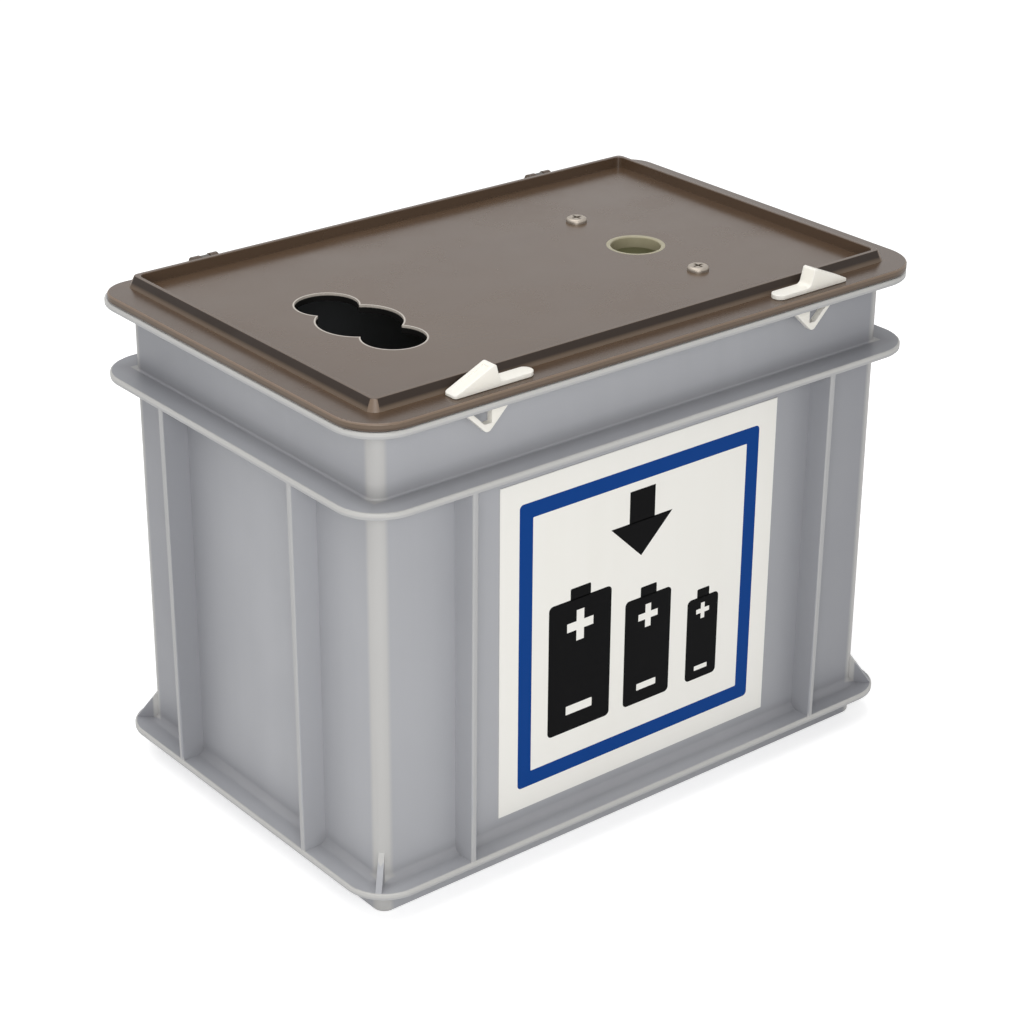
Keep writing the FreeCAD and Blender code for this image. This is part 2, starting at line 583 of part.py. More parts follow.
def add_knuckles(body):
    """Pair of knuckles at each hinge on the lid's back edge, parted for the ear and bored for the pin."""
    start = f"{HINGE_X} - Sizes.knuckle_length / 2"
    barrel_outline = new_sketch(body, "knuckle_outline", "YZ_Plane", ("0", "0", start))
    circle(barrel_outline, HINGE_Y, HINGE_Z, "Sizes.knuckle_radius")
    barrel = pad(body, barrel_outline, "knuckle", "Sizes.knuckle_length")
    neck_outline = new_sketch(body, "neck_outline", "YZ_Plane", ("0", "0", start))
    front = f"({LID_BACK} - Sizes.lid_edge_round - Sizes.cut_margin)"
    polygon(neck_outline, [(front, LID_BOTTOM), (HINGE_Y, LID_BOTTOM), (HINGE_Y, LID_TOP), (front, LID_TOP)])
    neck = pad(body, neck_outline, "neck", "Sizes.knuckle_length")
    crest = f"({HINGE_Z} + Sizes.knuckle_radius + Sizes.cut_margin)"
    parting_outline = new_sketch(body, "knuckle_parting_outline", "XY_Plane", ("0", "0", crest))
    half = "(Sizes.ear_length / 2 + Sizes.knuckle_gap)"
    left = f"({HINGE_X} - {half})"
    right = f"({HINGE_X} + {half})"
    outer = f"({HINGE_Y} + Sizes.knuckle_radius + Sizes.cut_margin)"
    polygon(parting_outline, [(left, LID_BACK), (right, LID_BACK), (right, outer), (left, outer)])
    parting = pocket(body, parting_outline, "knuckle_parting", "2 * (Sizes.knuckle_radius + Sizes.cut_margin)")
    bore_outline = new_sketch(body, "knuckle_bore_outline", "YZ_Plane", ("0", "0", HINGE_X))
    circle(bore_outline, HINGE_Y, HINGE_Z, "Sizes.pin_radius + Sizes.knuckle_play")
    bore = pocket(body, bore_outline, "knuckle_bore", "Sizes.knuckle_length + 2 * Sizes.cut_margin",
                  symmetric=True)
    mirror(body, [barrel, neck, parting, bore], "YZ_Plane", "knuckle_opposite")


def cut_lid_openings(body):
    """Battery slot of three circles in a row, inlet hole, screw holes and latch slots."""
    through = "Sizes.lid_thickness + 2 * Sizes.cut_margin"
    above = f"({LID_TOP} + Sizes.cut_margin)"
    openings = [
        ("slot_middle", f"-{SLOT_X}", OPENING_Y, "Sizes.slot_middle_radius"),
        ("slot_front", f"-{SLOT_X}", f"{OPENING_Y} - Sizes.slot_pitch", "Sizes.slot_end_radius"),
        ("slot_back", f"-{SLOT_X}", f"{OPENING_Y} + Sizes.slot_pitch", "Sizes.slot_end_radius"),
        ("inlet", INLET_X, OPENING_Y, "Sizes.inlet_radius + Sizes.inlet_wall"),
    ]
    for name, x, y, radius in openings:
        sketch = new_sketch(body, f"{name}_outline", "XY_Plane", ("0", "0", above))
        circle(sketch, x, y, radius)
        pocket(body, sketch, name, through)
    holes = new_sketch(body, "screw_hole_outline", "XY_Plane", ("0", "0", above))
    circle(holes, INLET_X, SCREW_FRONT_Y, SCREW_HOLE)
    hole = pocket(body, holes, "screw_hole", through)
    row_of_two(body, [hole], "Y_Axis", "screw_holes", "Sizes.screw_pitch")
    stem_slot = new_sketch(body, "stem_slot_outline", "XY_Plane", ("0", "0", above))
    inner = f"({LATCH_X} - Sizes.stem_inner - Sizes.latch_end_gap)"
    outer = f"({LATCH_X} + Sizes.stem_outer + Sizes.latch_travel + Sizes.latch_end_gap)"
    half = "(Sizes.stem_thickness / 2 + Sizes.stem_gap)"
    front = f"({LATCH_Y} - {half})"
    back = f"({LATCH_Y} + {half})"
    polygon(stem_slot, [(inner, front), (outer, front), (outer, back), (inner, back)])
    slot = pocket(body, stem_slot, "stem_slot", through)
    mirror(body, [slot], "YZ_Plane", "stem_slot_opposite")


def latch(name, side, turn):
    """Sliding latch: plate with a thumb wedge above the lid, stem and split arrow below it.

    Its sketches measure outwards from the latch's middle, so the left one is turned half round.
    """
    body = new_body(name)
    place = (f"{side} * {LATCH_X}", "0", f"-{LATCH_Y}")
    half = "(Sizes.latch_length / 2)"
    plate_top = f"({LATCH_BOTTOM} + Sizes.latch_thickness)"
    crest = f"({LATCH_BOTTOM} + Sizes.wedge_rise)"
    tail = f"({LATCH_BOTTOM} + Sizes.wedge_tail)"
    top = new_sketch(body, f"{name}_plate_outline", "XZ_Plane", place, turn)
    polygon(top, [
        (f"-{half}", LATCH_BOTTOM), (half, LATCH_BOTTOM), (half, tail), ("Sizes.wedge_crest", crest),
        ("0", crest), ("-Sizes.wedge_lean", plate_top), (f"-{half}", plate_top),
    ])
    pad(body, top, f"{name}_plate", "Sizes.latch_width", symmetric=True)
    round_latch(body, name, side)
    groove = new_sketch(body, f"{name}_groove_outline", "XZ_Plane", place, turn)
    above = "(Sizes.thumb_depth + Sizes.cut_margin)"
    polygon(groove, [
        ("2 * Sizes.wedge_crest", f"({crest} + {above})"),
        ("2 * Sizes.wedge_crest", f"({crest} - Sizes.thumb_depth - Sizes.wedge_crest / 2)"),
        (f"({half} - Sizes.wedge_rise / 4)", f"({tail} + Sizes.wedge_crest / 2)"),
        (f"({half} + Sizes.cut_margin)", f"({crest} + {above})"),
    ])
    pocket(body, groove, f"{name}_groove", "Sizes.thumb_width", symmetric=True)
    add_arrow(body, name, place, turn)
    return body


def round_latch(body, name, side):
    """Rounds the latch's ends, the wedge's crest and the corner between wedge and plate."""
    middle = number(f"{side} * {LATCH_X}")
    half = number("Sizes.latch_length / 2")
    crest = number(f"{LATCH_BOTTOM} + Sizes.wedge_rise")
    plate_top = number(f"{LATCH_BOTTOM} + Sizes.latch_thickness")

    def upright(box, x):
        return abs(box.XMin - x) < 0.01 and abs(box.XMax - x) < 0.01 and box.ZMax - box.ZMin > 0.1

    def across(box, x, z):
        return abs(box.XMin - x) < 0.01 and abs(box.XMax - x) < 0.01 and level(box, z)

    crest_end = middle + side * number("Sizes.wedge_crest")
    foot = middle - side * number("Sizes.wedge_lean")
    fillet(body, f"{name}_root", "Sizes.wedge_root", lambda box: across(box, foot, plate_top))
    fillet(body, f"{name}_inner_end", "Sizes.inner_end_round", lambda box: upright(box, middle - side * half))
    fillet(body, f"{name}_outer_end", "Sizes.outer_end_round", lambda box: upright(box, middle + side * half))
    fillet(body, f"{name}_crest", "Sizes.wedge_round",
           lambda box: across(box, middle, crest) or across(box, crest_end, crest))


def add_arrow(body, name, place, turn):
    """Stem through lid and rim, ending in an arrow that is solid inwards and a springy arm outwards."""
    tip_z = f"({SHOULDER_Z} - Sizes.arrow_depth)"
    inner = "(Sizes.arrow_offset - Sizes.arrow_half)"
    outer = "(Sizes.arrow_offset + Sizes.arrow_half)"
    slant = "sqrt(Sizes.arrow_half * Sizes.arrow_half + Sizes.arrow_depth * Sizes.arrow_depth)"
    arm_inner = f"({outer} - Sizes.arm_thickness * {slant} / Sizes.arrow_depth)"
    slit_floor = f"({tip_z} + Sizes.arrow_web)"
    slit_depth = "(Sizes.arrow_depth - Sizes.arrow_web)"
    slit_foot = f"({arm_inner} - {slit_depth} * Sizes.arrow_half / Sizes.arrow_depth)"
    seat = f"({LATCH_BOTTOM} + Sizes.latch_thickness / 2)"
    sketch = new_sketch(body, f"{name}_arrow_outline", "XZ_Plane", place, turn)
    polygon(sketch, [
        ("-Sizes.stem_inner", seat), ("-Sizes.stem_inner", SHOULDER_Z), (inner, SHOULDER_Z),
        ("Sizes.arrow_offset", tip_z), (outer, SHOULDER_Z), (arm_inner, SHOULDER_Z),
        (slit_foot, slit_floor), ("Sizes.stem_outer", slit_floor), ("Sizes.stem_outer", seat),
    ])
    pad(body, sketch, f"{name}_arrow", "Sizes.stem_thickness", symmetric=True)
    lowest = number(tip_z)
    fillet(body, f"{name}_tip", "Sizes.arrow_tip_round", lambda box: level(box, lowest))


def inlet_ring():
    """Ring set flush in the lid, with a flange under the lid."""
    body = new_body("inlet_ring")
    place = (INLET_X, "0", f"-{OPENING_Y}")
    profile = new_sketch(body, "ring_profile", "XZ_Plane", place)
    outer = "(Sizes.inlet_radius + Sizes.inlet_wall - Sizes.inlet_fit)"
    flange = "(Sizes.inlet_radius + Sizes.inlet_wall + Sizes.inlet_flange)"
    low = f"({LID_BOTTOM} - Sizes.inlet_flange_thickness)"
    polygon(profile, [
        ("Sizes.inlet_radius", low), (flange, low), (flange, LID_BOTTOM), (outer, LID_BOTTOM),
        (outer, LID_TOP), ("Sizes.inlet_radius", LID_TOP),
    ])
    revolve(body, profile, "ring_turned")
    top = number(LID_TOP)
    bore = 2 * number("Sizes.inlet_radius")
    fillet(body, "ring_mouth", "Sizes.inlet_round", lambda box: level(box, top) and box.XLength < bore + 0.1)
    return body


def revolve(body, sketch, name):
    """Turns a half profile a full turn about the sketch's upright axis."""
    feature = body.newObject("PartDesign::Revolution", name)
    feature.Profile = sketch
    feature.ReferenceAxis = (sketch, ["V_Axis"])
    feature.Angle = 360
    return recompute(body, feature)


def button_cell_cup():
    """Cup under the inlet, with a flange and two ears against the lid's underside."""
    body = new_body("button_cell_cup")
    ears = new_sketch(body, "ears_outline", "XY_Plane", ("0", "0", CUP_SEAT))
    reach = "(Sizes.screw_pitch / 2)"
    polygon(ears, [
        (f"{INLET_X} - Sizes.cup_ear_radius", f"{OPENING_Y} - {reach}"),
        (f"{INLET_X} + Sizes.cup_ear_radius", f"{OPENING_Y} - {reach}"),
        (f"{INLET_X} + Sizes.cup_ear_radius", f"{OPENING_Y} + {reach}"),
        (f"{INLET_X} - Sizes.cup_ear_radius", f"{OPENING_Y} + {reach}"),
    ])
    pad(body, ears, "ears", "Sizes.cup_flange_thickness")
    for end, y in (("front", f"{OPENING_Y} - {reach}"), ("back", f"{OPENING_Y} + {reach}")):
        sketch = new_sketch(body, f"ear_{end}_outline", "XY_Plane", ("0", "0", CUP_SEAT))
        circle(sketch, INLET_X, y, "Sizes.cup_ear_radius")
        pad(body, sketch, f"ear_{end}", "Sizes.cup_flange_thickness")
    outer = "(Sizes.cup_radius + Sizes.cup_wall)"
    flange = f"({outer} + Sizes.cup_flange)"
    bottom = f"({LID_BOTTOM} - Sizes.cup_depth)"
    profile = new_sketch(body, "cup_profile", "XZ_Plane", (INLET_X, "0", f"-{OPENING_Y}"))
    polygon(profile, [
        ("0", bottom), (outer, bottom), (outer, CUP_SEAT), (flange, CUP_SEAT), (flange, LID_BOTTOM),
        ("0", LID_BOTTOM),
    ])
    revolve(body, profile, "cup_turned")
    lowest = number(bottom)
    fillet(body, "cup_base", "Sizes.cup_round", lambda box: level(box, lowest))
    hollow = new_sketch(body, "hollow_outline", "XY_Plane", ("0", "0", LID_BOTTOM))
    circle(hollow, INLET_X, OPENING_Y, "Sizes.cup_radius")
    pocket(body, hollow, "hollow", "Sizes.cup_depth - Sizes.cup_wall")
    inside = number(f"{bottom} + Sizes.cup_wall")
    fillet(body, "hollow_base", "Sizes.cup_round - Sizes.cup_wall", lambda box: level(box, inside))
    holes = new_sketch(body, "cup_screw_hole_outline", "XY_Plane", ("0", "0", LID_BOTTOM))
    circle(holes, INLET_X, SCREW_FRONT_Y, SCREW_HOLE)
    hole = pocket(body, holes, "cup_screw_hole", "Sizes.cup_flange_thickness")
    row_of_two(body, [hole], "Y_Axis", "cup_screw_holes", "Sizes.screw_pitch")
    return body


def cup_screws():
    """Two pan head screws with a cross recess, through the lid and the cup's ears."""
    body = new_body("cup_screws")
    end = f"({LID_TOP} - Sizes.screw_length)"
    crown = f"({LID_TOP} + Sizes.head_height)"
    profile = new_sketch(body, "screw_profile", "XZ_Plane", (INLET_X, "0", f"-{SCREW_FRONT_Y}"))
    polygon(profile, [
        ("0", end), ("Sizes.screw_radius - Sizes.screw_chamfer", end),
        ("Sizes.screw_radius", f"{end} + Sizes.screw_chamfer"), ("Sizes.screw_radius", LID_TOP),
        ("Sizes.head_radius", LID_TOP), ("Sizes.head_radius", crown), ("0", crown),
    ])
    screw = revolve(body, profile, "screw")
    row_of_two(body, [screw], "Y_Axis", "screws", "Sizes.screw_pitch")
    top = number(crown)
    fillet(body, "screw_head", "Sizes.head_round", lambda box: level(box, top))
    half_length = "(Sizes.recess_length / 2)"
    half_width = "(Sizes.recess_width / 2)"
    for place, y in (("front", SCREW_FRONT_Y), ("back", f"({SCREW_FRONT_Y} + Sizes.screw_pitch)")):
        for way, half_x, half_y in (("across", half_length, half_width), ("along", half_width, half_length)):
            slit = new_sketch(body, f"recess_{place}_{way}_outline", "XY_Plane", ("0", "0", crown))
            polygon(slit, [
                (f"{INLET_X} - {half_x}", f"{y} - {half_y}"),
                (f"{INLET_X} + {half_x}", f"{y} - {half_y}"),
                (f"{INLET_X} + {half_x}", f"{y} + {half_y}"),
                (f"{INLET_X} - {half_x}", f"{y} + {half_y}"),
            ])
            pocket(body, slit, f"recess_{place}_{way}", "Sizes.recess_depth")
    return body


def cup_washers():
    """Two flat washers between the cup's ears and the nuts."""
    body = new_body("cup_washers")
    sketch = new_sketch(body, "washer_outline", "XY_Plane", ("0", "0", WASHER_SEAT))
    circle(sketch, INLET_X, SCREW_FRONT_Y, "Sizes.washer_radius")
    circle(sketch, INLET_X, SCREW_FRONT_Y, SCREW_HOLE)
    washer = pad(body, sketch, "washer", "Sizes.washer_thickness")
    row_of_two(body, [washer], "Y_Axis", "washers", "Sizes.screw_pitch")
    return body


def cup_nuts():
    """Two hexagon nuts that hold the screws."""
    body = new_body("cup_nuts")
    sketch = new_sketch(body, "nut_outline", "XY_Plane", ("0", "0", f"{WASHER_SEAT} - Sizes.nut_height"))
    points = []
    for corner in range(6):
        angle = f"{60 * corner} deg"
        reach = "Sizes.nut_width / 2 / cos(30 deg)"
        points.append((f"{INLET_X} + {reach} * cos({angle})", f"{SCREW_FRONT_Y} + {reach} * sin({angle})"))
    polygon(sketch, points)
    circle(sketch, INLET_X, SCREW_FRONT_Y, "Sizes.screw_radius + Sizes.nut_fit")
    nut = pad(body, sketch, "nut", "Sizes.nut_height")
    row_of_two(body, [nut], "Y_Axis", "nuts", "Sizes.screw_pitch")
    return body


def label():
    """Printed label on the front wall."""
    body = new_body("label")
    sketch = new_sketch(body, "label_outline", "XZ_Plane", ("0", "0", WALL_Y))
    half = "(Sizes.label_width / 2)"
    top = "(Sizes.label_bottom + Sizes.label_height)"
    polygon(sketch, [
        (f"-{half}", "Sizes.label_bottom"), (half, "Sizes.label_bottom"), (half, top), (f"-{half}", top),
    ])
    pad(body, sketch, "label_sheet", "Sizes.label_thickness")
    return body


nodes = [
    container_body(),
    lid(),
    latch("latch_left", -1, 180),
    latch("latch_right", 1, 0),
    hinge_pin("hinge_pin_left", -1),
    hinge_pin("hinge_pin_right", 1),
    inlet_ring(),
    button_cell_cup(),
    cup_screws(),
    cup_washers(),
    cup_nuts(),
    label(),
]
doc.recompute()

for item in doc.Objects:
    if "Invalid" in item.State or "Error" in item.State:
        raise RuntimeError(f"{item.Label} failed: {item.State}")
for node in nodes:
    if node.Shape.isNull() or not node.Shape.isValid():
        raise RuntimeError(f"{node.Label} has no valid shape")

os.makedirs("parts", exist_ok=True)
for node in nodes:
    node.Shape.exportStep(f"parts/{node.Label}.step")
    box = node.Shape.BoundBox
    print(f"{node.Label}: {len(node.Shape.Solids)} solids, volume {node.Shape.Volume:.1f} mm3, "
          f"x {box.XMin:.2f} to {box.XMax:.2f}, y {box.YMin:.2f} to {box.YMax:.2f}, "
          f"z {box.ZMin:.2f} to {box.ZMax:.2f}")
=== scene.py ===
import math

import bmesh
import bpy
import numpy as np
from mathutils import Matrix, Vector


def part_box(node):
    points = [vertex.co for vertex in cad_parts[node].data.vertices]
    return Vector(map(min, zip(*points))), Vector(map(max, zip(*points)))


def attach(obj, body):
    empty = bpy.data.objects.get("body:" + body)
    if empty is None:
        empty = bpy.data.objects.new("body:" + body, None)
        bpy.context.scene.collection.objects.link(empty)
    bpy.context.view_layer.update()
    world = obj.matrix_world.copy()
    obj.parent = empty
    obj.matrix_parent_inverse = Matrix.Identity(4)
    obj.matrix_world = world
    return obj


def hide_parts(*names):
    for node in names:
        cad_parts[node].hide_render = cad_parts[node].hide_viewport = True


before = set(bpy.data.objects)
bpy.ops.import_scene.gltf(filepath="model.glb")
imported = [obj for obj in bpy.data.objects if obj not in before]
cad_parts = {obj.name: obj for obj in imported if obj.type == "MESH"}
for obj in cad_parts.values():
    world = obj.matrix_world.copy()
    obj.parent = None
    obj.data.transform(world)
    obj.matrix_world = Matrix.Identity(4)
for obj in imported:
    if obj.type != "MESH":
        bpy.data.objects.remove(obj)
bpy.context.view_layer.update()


print("frame loaded:", len(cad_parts), "nodes")


# camera, at the height and the side that the photograph was taken from

cameraSettings = {
    "place": (-0.6521, -0.8025, 0.6008),
    "azimuth": -39.02,
    "elevation": 25.27,
    "roll": 0.364,
    "lens": 90.3,
    "shift": (0.00480, -0.00433),
}


def makeCamera(settings):
    azimuth = math.radians(settings["azimuth"])
    elevation = math.radians(settings["elevation"])
    back = Vector((
        math.sin(azimuth) * math.cos(elevation),
        -math.cos(azimuth) * math.cos(elevation),
        math.sin(elevation),
    ))
    right = Vector((math.cos(azimuth), math.sin(azimuth), 0))
    up = back.cross(right)
    upright = Matrix((right, up, back)).transposed()
    data = bpy.data.cameras.new("camera")
    data.lens = settings["lens"]
    data.shift_x, data.shift_y = settings["shift"]
    camera = bpy.data.objects.new("camera", data)
    turned = upright @ Matrix.Rotation(math.radians(settings["roll"]), 3, "Z")
    camera.matrix_world = Matrix.Translation(settings["place"]) @ turned.to_4x4()
    bpy.context.scene.collection.objects.link(camera)
    bpy.context.scene.camera = camera


makeCamera(cameraSettings)
bpy.context.scene.view_settings.view_transform = "Standard"
print("camera placed")


# materials

screenCurve = {"white": 255, "knee": 0.04045, "slope": 12.92, "offset": 0.055, "power": 2.4}
white = (1.0, 1.0, 1.0, 1.0)


def linearColour(red, green, blue):
    # a screen colour from 0 to 255 as the linear colour that a shader takes
    channels = np.array((red, green, blue)) / screenCurve["white"]
    low = channels / screenCurve["slope"]
    offset = screenCurve["offset"]
    high = ((channels + offset) / (1 + offset)) ** screenCurve["power"]
    linear = np.where(channels <= screenCurve["knee"], low, high)
    return (*(float(value) for value in linear), 1.0)


def newMaterial(name):
    material = bpy.data.materials.new(name)
    material.use_nodes = True
    tree = material.node_tree
    shader = tree.nodes["Principled BSDF"]
    return material, tree, shader


def objectPoints(tree, scale=(1, 1, 1)):
    # the piece's own coordinates, stretched along each axis
    coordinates = tree.nodes.new("ShaderNodeTexCoord")
    mapping = tree.nodes.new("ShaderNodeMapping")
    mapping.inputs["Scale"].default_value = scale
    tree.links.new(coordinates.outputs["Object"], mapping.inputs["Vector"])
    return mapping.outputs["Vector"]


def noise(tree, points, scale, detail=2.0, roughness=0.5):
    node = tree.nodes.new("ShaderNodeTexNoise")
    node.inputs["Scale"].default_value = scale
    node.inputs["Detail"].default_value = detail
    node.inputs["Roughness"].default_value = roughness
    tree.links.new(points, node.inputs["Vector"])
    return node.outputs["Fac"]


def ranged(tree, value, low, high, toLow, toHigh):
    node = tree.nodes.new("ShaderNodeMapRange")
    node.inputs["From Min"].default_value = low
    node.inputs["From Max"].default_value = high
    node.inputs["To Min"].default_value = toLow
    node.inputs["To Max"].default_value = toHigh
    tree.links.new(value, node.inputs["Value"])
    return node.outputs["Result"]


colourSockets = {"first": 6, "second": 7, "result": 2}


def mixedColour(tree, factor, first, second):
    # the mix node has more sockets of these names, for numbers, so its colours go by their place
    node = tree.nodes.new("ShaderNodeMix")
    node.data_type = "RGBA"
    tree.links.new(factor, node.inputs["Factor"])
    for place, colour in (("first", first), ("second", second)):
        socket = node.inputs[colourSockets[place]]
        if isinstance(colour, tuple):
            socket.default_value = colour
        else:
            tree.links.new(colour, socket)
    return node.outputs[colourSockets["result"]]


def worked(tree, operation, *values):
    # a sum over sockets and plain numbers
    node = tree.nodes.new("ShaderNodeMath")
    node.operation = operation
    for socket, value in zip(node.inputs, values):
        if isinstance(value, (int, float)):
            socket.default_value = value
        else:
            tree.links.new(value, socket)
    return node.outputs[0]


def squared(tree, value):
    return worked(tree, "MULTIPLY", value, value)


def placeParts(tree):
    # the place on the piece as three numbers
    parts = tree.nodes.new("ShaderNodeSeparateXYZ")
    tree.links.new(objectPoints(tree), parts.inputs[0])
    return parts.outputs


def bumped(tree, height, strength, distance):
    node = tree.nodes.new("ShaderNodeBump")
    node.inputs["Strength"].default_value = strength
    node.inputs["Distance"].default_value = distance
    tree.links.new(height, node.inputs["Height"])
    return node.outputs["Normal"]


noiseSettings = {
    "mottleDetail": 3.0, "rubDetail": 4.0, "rubRoughness": 0.6, "scratchDetail": 1.0, "markDetail": 3.0,
    "wide": (0.3, 0.7), "narrow": (0.35, 0.65), "peaks": (0.66, 0.78),
}


def tint(plastic, factor, colour):
    # the plastic's colour gives way to another one where the factor is one
    material, tree, shader, own = plastic
    mixed = mixedColour(tree, factor, own, linearColour(*colour))
    tree.links.new(mixed, shader.inputs["Base Color"])
    return material, tree, shader, mixed


def makePlastic(name, settings):
    # moulded plastic: soft mottling and flow streaks in the colour, a fine grain and rubbed
    # patches in the gloss, and faint long scratches
    material, tree, shader = newMaterial(name)
    plain = objectPoints(tree)
    streaks = objectPoints(tree, settings["streakStretch"])
    mottle = noise(tree, plain, settings["mottleScale"], noiseSettings["mottleDetail"])
    mottle = ranged(tree, mottle, *noiseSettings["wide"], 0.0, 1.0)
    colour = mixedColour(tree, mottle, linearColour(*settings["dark"]), linearColour(*settings["light"]))
    flow = noise(tree, streaks, settings["streakScale"])
    flow = ranged(tree, flow, *noiseSettings["narrow"], 0.0, settings["streakShare"])
    plastic = tint((material, tree, shader, colour), flow, settings["streak"])
    wearAndHighlight = noise(tree, plain, settings["rubScale"],
                   noiseSettings["rubDetail"], noiseSettings["rubRoughness"])
    gloss = ranged(tree, wearAndHighlight, *noiseSettings["wide"], settings["smooth"], settings["rough"])
    lines = objectPoints(tree, settings["scratchStretch"])
    lines = noise(tree, lines, settings["scratchScale"], noiseSettings["scratchDetail"])
    scratches = ranged(tree, lines, *noiseSettings["peaks"], 0.0, settings["scratchGloss"])
    tree.links.new(worked(tree, "ADD", gloss, scratches), shader.inputs["Roughness"])
    grain = noise(tree, plain, settings["grainScale"])
    grain = bumped(tree, grain, settings["grainStrength"], settings["grainDepth"])
    tree.links.new(grain, shader.inputs["Normal"])
    shader.inputs["IOR"].default_value = settings["ior"]
    shader.inputs["Subsurface Weight"].default_value = settings["glow"]
    shader.inputs["Subsurface Radius"].default_value = settings["glowReach"]
    shader.inputs["Subsurface Scale"].default_value = settings["glowScale"]
    return plastic


greyPlastic = {
    "dark": (163, 164, 168), "light": (167, 168, 172), "streak": (170, 171, 175),
    "mottleScale": 9.0, "streakScale": 90.0, "streakStretch": (1.0, 1.0, 0.05), "streakShare": 0.3,
    "rubScale": 30.0, "smooth": 0.38, "rough": 0.50,
    "scratchStretch": (1.0, 1.0, 0.02), "scratchScale": 1100.0, "scratchGloss": 0.06,
    "grainScale": 1500.0, "grainStrength": 0.10, "grainDepth": 0.0001,
    "ior": 1.49, "glow": 0.08, "glowReach": (1.0, 1.0, 1.0), "glowScale": 0.002,
}
# the paler grey of a painted highlight on the container's outer edges and lips
greyEdge = {
    **greyPlastic,
    "dark": (170, 170, 170), "light": (173, 173, 173), "streak": (176, 176, 176),
    "smooth": 0.42, "rough": 0.55,
}
brownPlastic = {
    **greyPlastic,
    "dark": (80, 62, 47), "light": (84, 66, 50), "streak": (87, 69, 53),
    "streakScale": 60.0, "streakStretch": (0.2, 1.0, 1.0),
    "smooth": 0.20, "rough": 0.30, "ior": 1.50,
    "scratchStretch": (0.03, 1.0, 1.0), "scratchScale": 260.0, "scratchGloss": 0.02,
    "grainStrength": 0.02, "glow": 0.0,
}
# the lid plastic again, its colour set for how light falls on the bead's slope and the lid's side: painted
# light and shade
slopeBrown = {
    **brownPlastic,
    "dark": (97, 82, 68), "light": (101, 86, 72), "streak": (104, 89, 75),
    "smooth": 0.45, "rough": 0.60, "ior": 1.40,
}
# a paler brown: a painted highlight on the bead's corners and the lid's upper edge
highlightBrown = {
    **brownPlastic,
    "dark": (112, 94, 78), "light": (118, 100, 84), "streak": (122, 104, 88),
    "smooth": 0.35, "rough": 0.45,
}
whitePlastic = {
    **greyPlastic,
    "dark": (237, 233, 223), "light": (240, 236, 226), "streak": (242, 239, 230),
    "smooth": 0.28, "rough": 0.42, "glow": 0.3, "glowScale": 0.004, "streakShare": 0.2,
}
milledPlastic = {
    **greyPlastic,
    "dark": (176, 168, 158), "light": (186, 178, 168), "streak": (194, 186, 176),
    "streakScale": 700.0, "streakStretch": (1.0, 1.0, 0.05), "streakShare": 0.6,
    "smooth": 0.6, "rough": 0.75, "grainStrength": 0.25, "glow": 0.0, "ior": 1.25,
}
ringPlastic = {
    **greyPlastic,
    "dark": (148, 141, 115), "light": (158, 151, 125), "streak": (163, 157, 132),
    "smooth": 0.3, "rough": 0.45, "glow": 0.1,
}
olivePlastic = {
    **greyPlastic,
    "dark": (128, 130, 98), "light": (140, 142, 110), "streak": (146, 147, 116),
    "smooth": 0.25, "rough": 0.4, "glow": 0.0,
}
labelFilm = {
    **greyPlastic,
    "dark": (237, 235, 228), "light": (241, 239, 233), "streak": (243, 241, 236),
    "streakShare": 0.2, "smooth": 0.30, "rough": 0.38,
    "grainScale": 900.0, "grainStrength": 0.04, "glow": 0.0,
}
bluePrint = {
    **labelFilm,
    "dark": (10, 61, 132), "light": (13, 64, 136), "streak": (16, 67, 140), "ior": 1.12,
}
blackPrint = {
    **labelFilm,
    "dark": (6, 6, 7), "light": (9, 9, 10), "streak": (11, 11, 12), "ior": 1.12,
}


# the slot's walls are milled: pale at the top edge, and dark with painted shadow below it

slotCircles = {"place": -0.0845, "line": -0.0062, "middle": 0.018, "end": 0.0134, "pitch": 0.0233}
milledRim = {"reach": 0.0008, "top": 0.2237, "depth": 0.0012, "fade": 0.0004, "below": (8, 7, 6)}


def slotDistance(tree, circles):
    # distance on the lid from the nearest of the slot's three circles, less its radius
    flat = objectPoints(tree, (1, 1, 0))
    line, pitch = circles["line"], circles["pitch"]
    middle = (line, circles["middle"])
    ends = [(line - pitch, circles["end"]), (line + pitch, circles["end"])]
    nearest = None
    for y, radius in (middle, *ends):
        away = tree.nodes.new("ShaderNodeVectorMath")
        away.operation = "DISTANCE"
        away.inputs[1].default_value = (circles["place"], y, 0)
        tree.links.new(flat, away.inputs[0])
        beyond = worked(tree, "SUBTRACT", away.outputs["Value"], radius)
        nearest = beyond if nearest is None else worked(tree, "MINIMUM", nearest, beyond)
    return nearest


def beyondWalls(tree, places, half):
    # how far a place is beyond the two pairs of walls, across and along
    return [worked(tree, "SUBTRACT", worked(tree, "ABSOLUTE", places[axis]), reach)
            for axis, reach in zip("XY", half)]


lidFlat = {"half": (0.138, 0.088), "colour": (78, 61, 47), "fade": 0.0015}


def lidColours(plastic, rim, flat):
    # the lid's own colour gives way to painted shade, a slightly darker brown, on the flat outside
    # the bead, and to the milled one close to the slot
    tree = plastic[1]
    outward = worked(tree, "MAXIMUM", *beyondWalls(tree, placeParts(tree), flat["half"]))
    outside = ranged(tree, outward, 0.0, flat["fade"], 0.0, 1.0)
    near = ranged(tree, slotDistance(tree, slotCircles), rim["reach"] / 2, rim["reach"], 1.0, 0.0)
    plastic = tint(plastic, outside, flat["colour"])
    return tint(plastic, near, milledPlastic["light"])[0]


